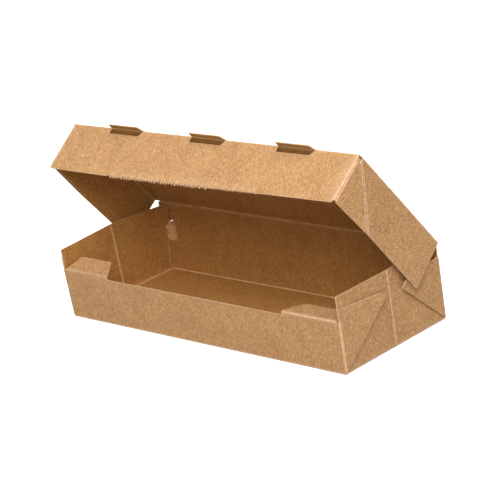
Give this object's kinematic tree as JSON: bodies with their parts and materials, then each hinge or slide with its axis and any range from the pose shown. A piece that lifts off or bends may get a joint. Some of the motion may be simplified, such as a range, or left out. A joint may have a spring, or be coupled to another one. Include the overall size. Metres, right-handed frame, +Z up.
{
  "type": "takeaway box",
  "caption": "Long low takeaway box folded from kraft card: tray with propped end walls and tuck flaps, and a hinged lid whose skirt has a torn toothed edge.",
  "frame": {"origin": "centre of the bounding box at the underside of the tray's floor", "axes": "+X along the box to its right-hand end, +Y from the low front wall to the back wall that carries the lid, +Z up"},
  "size_m": [0.2114, 0.073, 0.1028],
  "materials": {
    "kraft_board": "matte"
  },
  "bodies": {
    "tray": {"tray": "kraft_board"},
    "lid": {"lid": "kraft_board"},
    "left_tuck_flap": {"left_tuck_flap": "kraft_board"},
    "right_tuck_flap": {"right_tuck_flap": "kraft_board"}
  },
  "joints": [
    {"name": "lid_hinge", "type": "hinge", "parent": "tray", "child": "lid", "pos_m": [0, 0.03625, 0.04045], "axis": [-1, 0, 0], "range_deg": [-54, 126]},
    {"name": "left_tuck_fold", "type": "hinge", "parent": "tray", "child": "left_tuck_flap", "pos_m": [-0.08255, -0.036, 0.027], "axis": [1, 0, 0], "range_deg": [-107, 68]},
    {"name": "right_tuck_fold", "type": "hinge", "parent": "tray", "child": "right_tuck_flap", "pos_m": [0.08105, -0.036, 0.027], "axis": [1, 0, 0], "range_deg": [-89, 86]}
  ]
}
